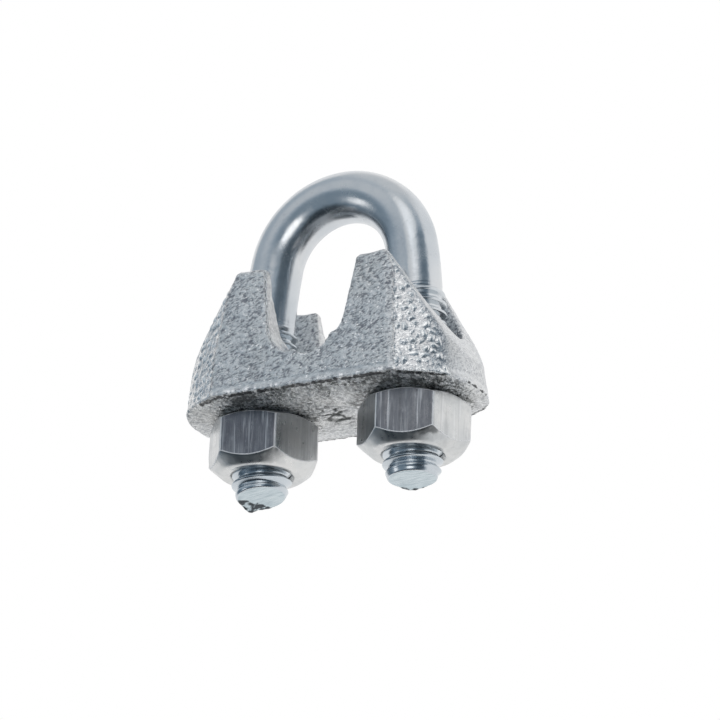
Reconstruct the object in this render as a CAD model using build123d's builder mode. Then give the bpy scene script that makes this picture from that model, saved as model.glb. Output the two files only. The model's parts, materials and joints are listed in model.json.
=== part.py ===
# Wire rope clip, light malleable pattern, size 8 mm (5/16 in): a U-bolt, a saddle
# and two nuts. All sizes in millimetres.
# Frame: origin on the axis of the rope that lies in the saddle's seat, halfway
# between the two legs. +Z points from the nuts towards the bow, +X runs from
# the left leg to the right leg, +Y runs along the rope, from front to rear.
import math
import os

from build123d import *

# ---------------------------------------------------------------- rope
ROPE_D = 8.0
SEAT_R = ROPE_D / 2
SEAT_FLOOR = -SEAT_R
UNDERSIDE = SEAT_FLOOR - 3.95       # flat face of the saddle that the nuts bear on

# ---------------------------------------------------------------- U-bolt
LEG_X = 8.25            # half the leg spacing
ROD_R = 2.62            # plain rod, close to the thread's pitch radius
ROD_END_CHAMFER = 0.2   # where the plain rod meets the threads
BOW_R = 7.60            # centreline radius of the bow
BOW_TOP = UNDERSIDE + 22.72         # centreline height of the bow
BOW_SWEEP = 10.0        # degrees of each side arc that leads a leg into the bow
SHEAR_L = UNDERSIDE - 7.62          # cropped leg ends, height on the leg axis
SHEAR_R = UNDERSIDE - 7.82
SHEAR_TILT_L = 5.7      # degrees, the -X side of each end hangs lower
SHEAR_TILT_R = 1.5
SHEAR_REACH = 6.0       # half width and depth of the cut that crops a leg
SHEAR_HALF_Y = 4.0
THREAD_TOP_L = UNDERSIDE + 9.6      # end of the thread on the left leg
THREAD_TOP_R = UNDERSIDE + 11.4     # end of the thread on the right leg

# ---------------------------------------------------------------- M6 thread
# Every helix starts at a whole number of pitches, so nuts and legs are in phase.
PITCH = 1.0
FLANK = math.radians(30.0)
CORE_OVERRUN = 1.0      # the core runs past the helix by this much at both ends
THREAD_LOW = -17.0      # the legs' helix starts here, below the cropped end
BOLT_CREST_R = 2.95
BOLT_PITCH_R = 2.63
BOLT_ROOT_R = 2.38
BOLT_FOOT_R = BOLT_ROOT_R - 0.06    # the ridge's foot is sunk into the core
BOLT_TIP_R = 2.66       # envelope radius at its lower end
BOLT_TIP_TRIM = 0.6     # envelope start above the start of the helix
BOLT_TIP_TAPER = 1.3    # height over the cropped end where full crests begin
BOLT_CREST_GROWTH = 0.01            # gain in envelope radius towards the bow
BOLT_NECK_R = BOLT_ROOT_R - 0.02    # core inside the rod, at the thread's top
RUNOUT_START = 1.6      # below the thread's top
RUNOUT_END = 0.4        # half height of the neck about the thread's top
NUT_CREST_R = 2.53
NUT_PITCH_R = 2.73
NUT_ROOT_R = 3.05
NUT_FOOT_R = NUT_CREST_R - 0.10     # the groove's inner edge lies within the bore

# ---------------------------------------------------------------- nuts
NUT_AF = 9.80           # across flats
NUT_H = 5.50
NUT_CORNER_R = 0.30
NUT_FACE_R = 4.62       # upper face, radius where the corner chamfer starts
NUT_FACE_ANGLE = 30.0   # degrees
NUT_DOME_R = 3.90       # lower face, radius where its deeper chamfer starts
NUT_DOME_ANGLE = 32.5   # degrees
NUT_MOUTH_R = 3.20      # 45 degree countersink at each end of the bore
NUT_GAP = 0.02          # running gap under the saddle
NUT_TURN_L = 10.4       # degrees, each nut stops where it stops
NUT_TURN_R = 15.8

# ---------------------------------------------------------------- saddle
RIM_Z = UNDERSIDE + 0.60            # height of the parting line
EAR_Z = UNDERSIDE + 13.85           # height of the ears
# corners of one quarter of an outline (x, y), then the x of its pointed end
RIM_OUTLINE = [(9.6, 7.75), (12.0, 6.25), (13.85, 4.85), (15.15, 3.1)]
RIM_END = 15.45
TOP_OUTLINE = [(8.40, 6.05), (10.44, 4.775), (11.55, 3.935), (12.46, 2.71)]
TOP_END = 12.72
FOOT_IN_X = 0.60        # the underside's outline is pulled in from the rim by this
FOOT_IN_Y = 1.90
# line of the sloping shoulder at the +X end (x, z), from the ear downward
SHOULDER = [
    (8.41, EAR_Z),
    (13.35, UNDERSIDE + 6.36),
    (14.50, UNDERSIDE + 4.10),
    (15.28, UNDERSIDE + 1.20),
]
SHOULDER_FILLET = 6.0   # at the two middle points
SHOULDER_OVER = 3.0     # the shoulder cut runs this far above the ears
CUT_X = 20.0            # beyond the saddle's ends
CUT_HALF_Y = 12.0       # beyond the saddle's sides
SEAT_FLARE = math.radians(8.6)      # how the notch opens upward from the seat
NOTCH_OVER = 2.0        # the notch cut runs this far above the ears
HOLE_R = 3.40           # cored leg holes
HOLE_UNDER = 1.0        # the hole cut starts this far below the underside
HOLE_CUT = 12.0
POCKET_Z = UNDERSIDE + 2.20         # where each hole starts to open upward
POCKET_FOOT_R = HOLE_R - 0.15
POCKET_HALF_X = 6.10    # half sizes of the opening just above the ears
POCKET_HALF_Y = 5.05
POCKET_OVER = 0.5
CHANNEL_Z = UNDERSIDE + 5.70        # channel for the bow between front and rear ears
CHANNEL_SHOULDER = UNDERSIDE + 11.0     # its walls are upright above this
CHANNEL_HALF_LOW = 3.60             # half widths at these two heights
CHANNEL_HALF_HIGH = 5.00
CHANNEL_CUT = 5.0       # height of the upright part of the cut


def leg_section(x):
    """The XZ section plane, its origin on the axis of the leg at x."""
    return Plane(origin=(x, 0, 0), x_dir=(1, 0, 0), z_dir=(0, -1, 0))


def thread_form(x, z_low, z_high, core_r, foot_r, tip_r, pitch_r):
    """A core cylinder with a right-hand trapezoid ridge wound round it."""
    half_foot = PITCH / 4 + (pitch_r - foot_r) * math.tan(FLANK)
    half_tip = PITCH / 4 - (tip_r - pitch_r) * math.tan(FLANK)
    depth = tip_r - foot_r
    with BuildPart() as thread:
        with BuildSketch(Plane.XY.offset(z_low - CORE_OVERRUN)):
            with Locations((x, 0)):
                Circle(core_r)
        extrude(amount=z_high - z_low + 2 * CORE_OVERRUN)
        with BuildLine():
            path = Helix(
                pitch=PITCH, height=z_high - z_low, radius=foot_r, center=(x, 0, z_low)
            )
        with BuildSketch(Plane(origin=path @ 0, x_dir=(1, 0, 0), z_dir=(0, -1, 0))):
            with BuildLine():
                Polyline(
                    (0, -half_foot),
                    (depth, -half_tip),
                    (depth, half_tip),
                    (0, half_foot),
                    close=True,
                )
            make_face()
        sweep(is_frenet=True)
    return thread.part


# ================================================================ U-bolt
def threaded_leg(x, z_top, shear_z, shear_tilt):
    """One rolled leg, tapered at both ends of its thread and cropped at the bottom."""
    thread = thread_form(
        x, THREAD_LOW, z_top, BOLT_ROOT_R, BOLT_FOOT_R, BOLT_CREST_R, BOLT_PITCH_R
    )
    envelope_low = THREAD_LOW + BOLT_TIP_TRIM
    with BuildPart() as leg:
        add(thread)
        # envelope of the crests, with the run-out at the top
        with BuildSketch(leg_section(x)):
            with BuildLine():
                Polyline(
                    (0, envelope_low),
                    (BOLT_TIP_R, envelope_low),
                    (BOLT_CREST_R, shear_z + BOLT_TIP_TAPER),
                    (BOLT_CREST_R + BOLT_CREST_GROWTH, z_top - RUNOUT_START),
                    (BOLT_NECK_R, z_top - RUNOUT_END),
                    (BOLT_NECK_R, z_top + RUNOUT_END),
                    (0, z_top + RUNOUT_END),
                    close=True,
                )
            make_face()
        revolve(axis=Axis((x, 0, 0), (0, 0, 1)), mode=Mode.INTERSECT)
        # the bar is cropped, not turned, so the end is cut at a slant
        fall = SHEAR_REACH * math.tan(math.radians(shear_tilt))
        with BuildSketch(Plane.XZ):
            with BuildLine():
                Polyline(
                    (x - SHEAR_REACH, shear_z - fall),
                    (x + SHEAR_REACH, shear_z + fall),
                    (x + SHEAR_REACH, shear_z - SHEAR_REACH),
                    (x - SHEAR_REACH, shear_z - SHEAR_REACH),
                    close=True,
                )
            make_face()
        extrude(amount=SHEAR_HALF_Y, both=True, mode=Mode.SUBTRACT)
    return leg.part


def make_u_bolt():
    """The plain bow, with a threaded leg on each side."""
    leg_left = threaded_leg(-LEG_X, THREAD_TOP_L, SHEAR_L, SHEAR_TILT_L)
    leg_right = threaded_leg(LEG_X, THREAD_TOP_R, SHEAR_R, SHEAR_TILT_R)

    # the bow is one arc, and each leg leans into it through a long side arc
    sweep_angle = math.radians(BOW_SWEEP)
    side_r = (LEG_X - BOW_R * math.cos(sweep_angle)) / (1 - math.cos(sweep_angle))
    bow_z = BOW_TOP - BOW_R
    side_z = bow_z + (BOW_R - side_r) * math.sin(sweep_angle)
    join_x = BOW_R * math.cos(sweep_angle)
    join_z = bow_z + BOW_R * math.sin(sweep_angle)

    def side_points(side, thread_top):
        """End and middle of a side arc; side is -1 for left and 1 for right."""
        points = []
        for z in (thread_top, (thread_top + join_z) / 2):
            lean = side_r * (1 - math.cos(math.asin((z - side_z) / side_r)))
            points.append((side * (LEG_X - lean), z))
        return points

    left_end, left_mid = side_points(-1, THREAD_TOP_L)
    right_end, right_mid = side_points(1, THREAD_TOP_R)

    with BuildPart() as u_bolt:
        with BuildLine(Plane.XZ) as bow_path:
            ThreePointArc(left_end, left_mid, (-join_x, join_z))
            ThreePointArc((-join_x, join_z), (0, BOW_TOP), (join_x, join_z))
            ThreePointArc((join_x, join_z), right_mid, right_end)
        with BuildSketch(Plane(origin=bow_path.line @ 0, z_dir=bow_path.line % 0)):
            Circle(ROD_R)
        sweep()
        chamfer(u_bolt.faces().filter_by(GeomType.PLANE).edges(), ROD_END_CHAMFER)
        add(leg_left)
        add(leg_right)
    return u_bolt.part


# ================================================================ nuts
def make_nut(x, turn):
    """A tapped M6 nut under the saddle, its thread in phase with the leg."""
    z_top = UNDERSIDE - NUT_GAP
    z_low = z_top - NUT_H
    # the chamfer profile reaches past the hexagon's corners
    outer_r = NUT_AF / 2 / math.cos(math.radians(30)) + 1.0
    face_drop = (outer_r - NUT_FACE_R) * math.tan(math.radians(NUT_FACE_ANGLE))
    dome_rise = (outer_r - NUT_DOME_R) * math.tan(math.radians(NUT_DOME_ANGLE))
    tap = thread_form(
        x,
        math.floor(z_low) - 1.0,
        math.ceil(z_top) + 1.0,
        NUT_CREST_R,
        NUT_FOOT_R,
        NUT_ROOT_R,
        NUT_PITCH_R,
    )
    with BuildPart() as nut:
        with BuildSketch(Plane.XY.offset(z_low)):
            with Locations((x, 0)):
                RegularPolygon(
                    radius=NUT_AF / 2, side_count=6, major_radius=False, rotation=turn
                )
        extrude(amount=NUT_H)
        fillet(nut.edges().filter_by(Axis.Z), NUT_CORNER_R)
        # chamfers round both faces, deeper on the lower one
        with BuildSketch(leg_section(x)):
            with BuildLine():
                Polyline(
                    (0, z_low),
                    (NUT_DOME_R, z_low),
                    (outer_r, z_low + dome_rise),
                    (outer_r, z_top - face_drop),
                    (NUT_FACE_R, z_top),
                    (0, z_top),
                    close=True,
                )
            make_face()
        revolve(axis=Axis((x, 0, 0), (0, 0, 1)), mode=Mode.INTERSECT)
        add(tap, mode=Mode.SUBTRACT)
        # countersunk mouths, each cone cut from 1 mm outside its face
        for mouth_z, out in ((z_low, -1), (z_top, 1)):
            with BuildSketch(leg_section(x)):
                with BuildLine():
                    Polyline(
                        (0, mouth_z + out),
                        (NUT_MOUTH_R + 1, mouth_z + out),
                        (0, mouth_z - out * NUT_MOUTH_R),
                        close=True,
                    )
                make_face()
            revolve(axis=Axis((x, 0, 0), (0, 0, 1)), mode=Mode.SUBTRACT)
    return nut.part


# ================================================================ saddle
def full_outline(quarter, end_x):
    """A closed outline from one quarter's corners, mirrored both ways."""
    right_front = [(x, -y) for x, y in quarter]
    right_rear = [(x, y) for x, y in reversed(quarter)]
    right = right_front + [(end_x, 0.0)] + right_rear
    left = [(-x, -y) for x, y in right]
    return right + left


def make_saddle():
    """The cast saddle, with its rope notch, leg holes and bow channel."""
    foot_end = RIM_END - FOOT_IN_X
    rim_half_y = RIM_OUTLINE[0][1]
    foot_quarter = [
        (x * foot_end / RIM_END, y * (rim_half_y - FOOT_IN_Y) / rim_half_y)
        for x, y in RIM_OUTLINE
    ]
    rim = full_outline(RIM_OUTLINE, RIM_END)
    foot = full_outline(foot_quarter, foot_end)
    top = full_outline(TOP_OUTLINE, TOP_END)

    with BuildPart() as saddle:
        # drafted body above the parting line, then the bevelled rim below it
        for far_z, far_outline in ((EAR_Z, top), (UNDERSIDE, foot)):
            for z, outline in ((RIM_Z, rim), (far_z, far_outline)):
                with BuildSketch(Plane.XY.offset(z)):
                    with BuildLine():
                        Polyline(*outline, close=True)
                    make_face()
            loft(ruled=True)

        # sloping shoulders on both ends
        (ear_x, ear_z), (slope_x, slope_z) = SHOULDER[:2]
        run_per_rise = (ear_x - slope_x) / (ear_z - slope_z)
        with BuildSketch(Plane.XZ) as shoulders:
            with BuildLine():
                Polyline(
                    (ear_x + run_per_rise * SHOULDER_OVER, ear_z + SHOULDER_OVER),
                    *SHOULDER[1:],
                    (CUT_X, SHOULDER[-1][1]),
                    (CUT_X, ear_z + SHOULDER_OVER),
                    close=True,
                )
            make_face()
            fillet(
                shoulders.vertices()
                .filter_by_position(Axis.Y, UNDERSIDE + 3.0, UNDERSIDE + 7.5)
                .sort_by(Axis.X)[:2],
                SHOULDER_FILLET,
            )
            mirror(about=Plane.YZ)
        extrude(amount=CUT_HALF_Y, both=True, mode=Mode.SUBTRACT)

        # rope notch, round at the seat and opening upward along tangent walls
        wall_x = SEAT_R * math.cos(SEAT_FLARE)
        wall_z = -SEAT_R * math.sin(SEAT_FLARE)
        notch_top = EAR_Z + NOTCH_OVER
        notch_x = wall_x + (notch_top - wall_z) * math.tan(SEAT_FLARE)
        with BuildSketch(Plane.XZ):
            with BuildLine():
                ThreePointArc((-wall_x, wall_z), (0, SEAT_FLOOR), (wall_x, wall_z))
                Polyline(
                    (wall_x, wall_z),
                    (notch_x, notch_top),
                    (-notch_x, notch_top),
                    (-wall_x, wall_z),
                )
            make_face()
        extrude(amount=CUT_HALF_Y, both=True, mode=Mode.SUBTRACT)

        # leg holes, opening upward into the pockets between the ears
        for leg_x in (-LEG_X, LEG_X):
            with BuildSketch(Plane.XY.offset(UNDERSIDE - HOLE_UNDER)):
                with Locations((leg_x, 0)):
                    Circle(HOLE_R)
            extrude(amount=HOLE_CUT, mode=Mode.SUBTRACT)
            with BuildSketch(Plane.XY.offset(POCKET_Z)):
                with Locations((leg_x, 0)):
                    Circle(POCKET_FOOT_R)
            with BuildSketch(Plane.XY.offset(EAR_Z + POCKET_OVER)):
                with Locations((leg_x, 0)):
                    Ellipse(POCKET_HALF_X, POCKET_HALF_Y)
            loft(mode=Mode.SUBTRACT)

        # channel for the bow, from pocket to pocket across the notch
        with BuildSketch(Plane.XY.offset(CHANNEL_Z)):
            Rectangle(2 * LEG_X, 2 * CHANNEL_HALF_LOW)
        with BuildSketch(Plane.XY.offset(CHANNEL_SHOULDER)):
            Rectangle(2 * LEG_X, 2 * CHANNEL_HALF_HIGH)
        loft(mode=Mode.SUBTRACT)
        with BuildSketch(Plane.XY.offset(CHANNEL_SHOULDER)):
            Rectangle(2 * LEG_X, 2 * CHANNEL_HALF_HIGH)
        extrude(amount=CHANNEL_CUT, mode=Mode.SUBTRACT)
    return saddle.part


# ================================================================ export
pieces = {
    "u_bolt": make_u_bolt(),
    "saddle": make_saddle(),
    "nut_left": make_nut(-LEG_X, NUT_TURN_L),
    "nut_right": make_nut(LEG_X, NUT_TURN_R),
}

os.makedirs("parts", exist_ok=True)
for name, piece in pieces.items():
    piece.label = name
    export_step(piece, f"parts/{name}.step")
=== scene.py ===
"""A wire rope clip: a galvanised saddle casting, a threaded U-bolt and two hex nuts.

The legs of the U-bolt stand along Z at x = -LEG_X and +LEG_X, with the bow at the top.
The saddle lies across them with its length along X; the nuts bear on its underside.
The front is -Y. Lengths are in millimetres unless a comment says otherwise.
"""

import json
import math
from itertools import product

import bpy
import numpy as np
from mathutils import Matrix, Vector


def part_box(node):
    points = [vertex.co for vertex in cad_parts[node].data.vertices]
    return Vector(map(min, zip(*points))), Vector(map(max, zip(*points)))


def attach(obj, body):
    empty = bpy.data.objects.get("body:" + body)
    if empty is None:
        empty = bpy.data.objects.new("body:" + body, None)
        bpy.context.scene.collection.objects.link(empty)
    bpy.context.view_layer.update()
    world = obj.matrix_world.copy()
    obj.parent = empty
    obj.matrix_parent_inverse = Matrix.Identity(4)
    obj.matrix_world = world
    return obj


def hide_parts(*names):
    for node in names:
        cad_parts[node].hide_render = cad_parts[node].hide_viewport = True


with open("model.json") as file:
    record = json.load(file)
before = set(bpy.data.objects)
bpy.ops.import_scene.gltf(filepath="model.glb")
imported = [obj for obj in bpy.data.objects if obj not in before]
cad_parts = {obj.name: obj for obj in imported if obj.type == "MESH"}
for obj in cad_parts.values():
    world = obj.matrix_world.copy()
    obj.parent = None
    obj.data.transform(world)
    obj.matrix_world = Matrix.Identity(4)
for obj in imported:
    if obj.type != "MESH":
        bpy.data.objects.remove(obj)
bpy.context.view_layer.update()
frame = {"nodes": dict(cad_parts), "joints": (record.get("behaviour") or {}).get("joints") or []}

MM = 0.001                           # metres in a millimetre

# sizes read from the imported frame
JOINTS = {joint["name"]: joint for joint in frame["joints"]}
LEG_X = JOINTS["nut_right_spin"]["pos_m"][0] / MM
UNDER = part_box("saddle")[0].z / MM   # underside of the saddle
NUT_LOW, NUT_TOP = (corner.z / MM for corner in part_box("nut_left"))
bolt_low, bolt_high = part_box("u_bolt")
BOW_OUT = bolt_high.z / MM           # outside of the bow
PITCH = 1.0                          # thread


# ============================================================ noise and blending


def points(*parts):
    """Stack x, y and z, which may be arrays or plain numbers, as (n, 3)."""
    return np.stack([part.ravel() for part in np.broadcast_arrays(*parts)], 1)


def _hash(cells, seed):
    ix, iy, iz = cells.astype(np.int64).T
    h = (ix * 73856093 ^ iy * 19349663 ^ iz * 83492791 ^ (seed * 2654435761)) & 0xFFFFFFFF
    h = (h ^ (h >> 13)) * 1274126177 & 0xFFFFFFFF
    h = (h ^ (h >> 16)) * 668265263 & 0xFFFFFFFF
    return h ^ (h >> 15)


def _slope(h, x, y, z):
    """Dot product of (x, y, z) with the unit vector picked by the hash h."""
    up = (h & 0xFFFF) / 65535.0 * 2 - 1
    angle = ((h >> 16) & 0xFFFF) / 65535.0 * 2 * np.pi
    flat = np.sqrt(np.clip(1 - up * up, 0, 1))
    return x * flat * np.cos(angle) + y * flat * np.sin(angle) + z * up


def noise3(p, seed=0):
    """Gradient noise, about -0.7 to 0.7, for points p (n, 3)."""
    cell = np.floor(p)
    inside = p - cell
    weight = inside * inside * inside * (inside * (inside * 6 - 15) + 10)
    total = 0.0
    for offset in product((0, 1), repeat=3):
        value = _slope(_hash(cell + offset, seed), *(inside - offset).T)
        for axis, far in enumerate(offset):
            value = value * (weight[:, axis] if far else 1 - weight[:, axis])
        total = total + value
    return total


def fbm(p, octaves, seed):
    """Octaves of noise3, each finer and half as strong."""
    gain, gains, total = 1.0, 0.0, 0.0
    for octave in range(octaves):
        total = total + gain * noise3(p, seed + 17 * octave)
        gains += gain
        gain *= 0.5
        p = p * 2.03 + 11.3
    return total / gains


def worley(p, seed):
    """Distances to the nearest and second nearest of one jittered point per cell."""
    cell = np.floor(p)
    nearest = np.full(len(p), 9.0)
    second = np.full(len(p), 9.0)
    for offset in product((-1, 0, 1), repeat=3):
        corner = cell + offset
        h = _hash(corner, seed)
        h_z = _hash(corner, seed + 7)
        jitter = points(h & 0x3FF, (h >> 10) & 0x3FF, h_z & 0x3FF) / 1023.0
        distance = np.sqrt(((p - (corner + jitter)) ** 2).sum(1))
        second = np.minimum(second, np.maximum(nearest, distance))
        nearest = np.minimum(nearest, distance)
    return nearest, second


def smax(a, b, blend):
    """Maximum, rounded where a and b are closer than blend."""
    h = np.maximum(blend - np.abs(a - b), 0) / blend
    return np.maximum(a, b) + h * h * blend * 0.25


def smin(a, b, blend):
    return -smax(-a, -b, blend)


def ease(t):
    """Smooth step from 0 at t = 0 to 1 at t = 1."""
    t = np.clip(t, 0, 1)
    return t * t * (3 - 2 * t)


def bell(u, v=0.0):
    return np.exp(-(u**2 + v**2))


# ============================================================ mesh helpers


def new_object(name, verts, faces, attributes):
    """Smooth-shaded object from millimetre vertices, with one float attribute per entry."""
    mesh = bpy.data.meshes.new(name)
    mesh.from_pydata((np.asarray(verts) * MM).tolist(), [], [tuple(f) for f in faces])
    mesh.update()
    mesh.validate()
    mesh.polygons.foreach_set("use_smooth", [True] * len(mesh.polygons))
    ob = bpy.data.objects.new(name, mesh)
    bpy.context.scene.collection.objects.link(ob)
    for key, values in attributes.items():
        attribute = mesh.attributes.new(key, "FLOAT", "POINT")
        attribute.data.foreach_set("value", np.asarray(values, np.float32).ravel())
    return ob


def bridge(first, second, count, flip=False):
    """Quads between two closed rings of count vertices, given their first indices."""
    a = np.arange(count)
    b = (a + 1) % count
    quads = np.stack([first + a, first + b, second + b, second + a], 1)
    return (quads[:, ::-1] if flip else quads).tolist()


def axis_index(axis, part, rest):
    """Grid index that takes part on one axis and rest on the other two."""
    index = [rest] * 3
    index[axis] = part
    return tuple(index)


def surface_nets(field, origin, step):
    """Quads round the zero set of a grid field (negative inside)."""
    inside = field < 0
    cells = tuple(n - 1 for n in field.shape)
    total = np.zeros(cells + (3,))
    count = np.zeros(cells)
    lower, upper, whole, inner = slice(0, -1), slice(1, None), slice(None), slice(1, -1)
    for axis in range(3):
        a = field[axis_index(axis, lower, whole)]
        b = field[axis_index(axis, upper, whole)]
        cross = (a < 0) != (b < 0)
        t = np.where(cross, a / np.where(cross, a - b, 1), 0)
        other1, other2 = [k for k in range(3) if k != axis]
        # an edge along axis touches the four cells round it
        for o1, o2 in product((0, 1), repeat=2):
            index = [whole] * 3
            index[other1] = slice(o1, cells[other1] + o1)
            index[other2] = slice(o2, cells[other2] + o2)
            hit = cross[tuple(index)]
            total[..., axis] += t[tuple(index)]
            total[..., other1] += hit * o1
            total[..., other2] += hit * o2
            count += hit
    used = count > 0
    ids = np.full(cells, -1)
    ids[used] = np.arange(used.sum())
    verts = origin + (np.argwhere(used) + total[used] / count[used][:, None]) * step
    faces = []
    for axis in range(3):
        a_in = inside[axis_index(axis, lower, inner)]
        b_in = inside[axis_index(axis, upper, inner)]
        other1, other2 = (axis + 1) % 3, (axis + 2) % 3
        for mask, order in ((a_in & ~b_in, 1), (~a_in & b_in, -1)):
            edge = np.argwhere(mask)
            edge[:, [other1, other2]] += 1
            corners = []
            for d1, d2 in ((-1, -1), (0, -1), (0, 0), (-1, 0)):
                cell = edge.copy()
                cell[:, other1] += d1
                cell[:, other2] += d2
                corners.append(ids[tuple(cell.T)])
            faces.append(np.stack(corners, 1)[:, ::order])
    return verts, np.vstack(faces)


def vertex_normals(verts, faces):
    a, b, c, d = (verts[faces[:, k]] for k in range(4))
    face_normal = np.cross(c - a, d - b)
    total = np.zeros_like(verts)
    for k in range(4):
        np.add.at(total, faces[:, k], face_normal)
    return total / np.maximum(np.linalg.norm(total, axis=1), 1e-12)[:, None]


# ============================================================ saddle casting
# heights in this section are measured up from the saddle's underside
SIDE_Y = 7.75                        # half depth at the parting line
PARTING_Z = 0.6
SIDE_RISE, SIDE_DRAFT = 12.8, 1.65   # the long sides lean in by the draft over the rise
HOLE_X, HOLE_R = 8.25, 3.40
POCKET_R, POCKET_LOW, POCKET_RISE = 3.30, 2.0, 11.9
POCKET_FLARE_X, POCKET_FLARE_Y = 2.80, 1.65
CHANNEL_FLOOR, CHANNEL_Y, CHANNEL_FLARE, CHANNEL_RISE = 5.7, 3.60, 1.30, 5.3
NOTCH_R, NOTCH_Z, NOTCH_FLARE = 4.08, 7.95, math.radians(8.6)
NOTCH_SHIFT, NOTCH_SKEW = 0.42, 0.022
RIB_HEIGHT, RIB_WIDTH, RIB_PITCH, RIB_SLANT = 0.42, 0.62, 4.6, 1.15
TOP_Z = 13.92

# planes round one quarter of the body: a point, then an outward direction
PLANES = {
    "side": ((0, SIDE_Y, PARTING_Z), (0, SIDE_RISE, SIDE_DRAFT)),
    "facet": (
        (9.66, SIDE_Y, PARTING_Z),
        np.cross((-1.35, -SIDE_DRAFT, SIDE_RISE), (2.63, -1.55, 0.0)),
    ),
    "corner": ((14.25, 4.45, PARTING_Z), np.cross((-0.62, -0.10, 4.0), (1.0, -1.6, 0.0))),
    "end": ((15.25, 0, PARTING_Z), (1.0, 0, 0.21)),
    "shoulder": ((14.45, 0, 4.2), (2.2, 0, 1.35)),
    "roof": ((13.10, 0, 6.5), (6.35, 0, 4.2)),
    "rim side": ((0, SIDE_Y, 0.55), (0, 0.55, -1.75)),
    "rim end": ((15.35, 0, 0.5), (0.8, 0, -0.9)),
    "rim facet": ((9.6, SIDE_Y, 0.55), (0.35, 0.55, -1.75)),
    "outer facet": ((9.75, 7.70, PARTING_Z), (1.95, 3.25, 0.6)),
    "outer end": ((15.45, 0, PARTING_Z), (1.0, 0, 0.36)),
}


def plane(p, name):
    """Signed distance of p from the named plane."""
    point, direction = PLANES[name]
    direction = np.asarray(direction, float)
    return (p - np.asarray(point, float)) @ (direction / np.linalg.norm(direction))


def saddle_outer(p):
    """About 0 on the outside of the drafted body, negative inside it."""
    quarter = points(np.abs(p[:, 0]), np.abs(p[:, 1]), p[:, 2])
    side, facet, end = (plane(quarter, name) for name in ("side", "outer facet", "outer end"))
    return np.maximum(np.maximum(side, facet), end)


def saddle_body(x, y, z):
    """Signed distance to the drafted block with its rim, before anything is cut out."""
    # the left half is a little wider than the right
    left = ease(0.5 - x / 7.0)
    wide = 0.42 + 0.48 * ease(z / 5.5) * (1 - 0.35 * ease((z - 9.0) / 4.5))
    quarter = points(np.abs(x) - wide * left + 0.16, np.abs(y), z)

    d = smax(plane(quarter, "side"), plane(quarter, "facet"), blend=0.28)
    d = smax(d, plane(quarter, "corner"), blend=0.9)
    d = smax(d, plane(quarter, "end"), blend=1.3)
    roof = plane(quarter, "roof") + 0.12 * (1 - left)
    d = smax(d, smax(plane(quarter, "shoulder"), roof, blend=1.0), blend=0.35)
    # the top rises outward, waves a little and is lower at the left rear
    top = z - (TOP_Z + 0.08 * (np.abs(x) - 6.5)) + 0.05 * np.sin(x * 2.3 + y)
    top = top + 0.60 * ease((y - 1.0) / 2.0) * ease(-x / 2.0)
    d = smax(d, top, blend=0.55)
    # rim below the parting line
    rim_end = plane(quarter, "rim end") - 0.26 * left
    rim = smax(plane(quarter, "rim side"), rim_end, blend=0.4)
    rim = smax(rim, plane(quarter, "rim facet"), blend=0.4)
    d = smax(d, rim, blend=0.12)
    return smax(d, -z, blend=0.5)


def rope_notch(x, y, z):
    """Signed distance to the notch along Y, with slanting ribs left on its floor."""
    up = z - NOTCH_Z
    off = np.abs(x + NOTCH_SHIFT + NOTCH_SKEW * (y + 6))
    rib_place = (y + RIB_SLANT * x + 6.4) % RIB_PITCH - RIB_PITCH / 2
    deep = ease((7.6 - z) / 2.2)
    radius = NOTCH_R - RIB_HEIGHT * bell(rib_place / RIB_WIDTH) * deep
    along = off * math.sin(NOTCH_FLARE) + up * math.cos(NOTCH_FLARE)
    across = off * math.cos(NOTCH_FLARE) - up * math.sin(NOTCH_FLARE)
    return np.where(along > 0, across, np.sqrt(off**2 + up**2)) - radius


def leg_pockets(x, y, z):
    """Signed distance to the upward flaring pockets, leg holes and channel between them."""
    leg_x = np.abs(x) - HOLE_X
    t = np.clip((z - POCKET_LOW) / POCKET_RISE, 0, 1.2)
    radius_x = POCKET_R + t * POCKET_FLARE_X
    radius_y = POCKET_R + t * POCKET_FLARE_Y
    ratio = np.sqrt((leg_x / radius_x) ** 2 + (y / radius_y) ** 2)
    pocket = (ratio - 1) * np.minimum(radius_x, radius_y)
    pocket = smin(pocket, np.sqrt(leg_x**2 + y**2) - HOLE_R, blend=0.3)
    half = CHANNEL_Y + np.clip((z - CHANNEL_FLOOR) / CHANNEL_RISE, 0, 1) * CHANNEL_FLARE
    channel = smax(np.abs(y) - half, CHANNEL_FLOOR - z, blend=1.1)
    channel = smax(channel, np.abs(x) - HOLE_X, blend=0.4)
    return smin(pocket, channel, blend=0.7)


def saddle_sdf(p):
    """Signed distance to the casting, negative inside."""
    x, y, z = p.T
    d = smax(saddle_body(x, y, z), -rope_notch(x, y, z), blend=0.34)
    return smax(d, -leg_pockets(x, y, z), blend=0.40)


def saddle_mesh():
    step = 0.158
    pad = 0.8
    extents = ((-15.9, 15.9), (-7.9, 7.9), (0, 13.6))
    axes = [np.arange(low - pad, high + pad, step) for low, high in extents]
    grid = np.meshgrid(*axes, indexing="ij")
    field = saddle_sdf(points(*grid)).reshape(grid[0].shape)
    verts, faces = surface_nets(field, np.array([axis[0] for axis in axes]), step)
    # settle the vertices on the surface
    reach = 0.02
    for _ in range(4):
        d = saddle_sdf(verts)
        slopes = [saddle_sdf(verts + o) - saddle_sdf(verts - o) for o in reach * np.eye(3)]
        slope = np.stack(slopes, 1) / (2 * reach)
        steepness = np.maximum((slope * slope).sum(1), 0.2)
        verts = verts - 0.8 * slope * (d / steepness)[:, None]
    return verts, faces


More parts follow.
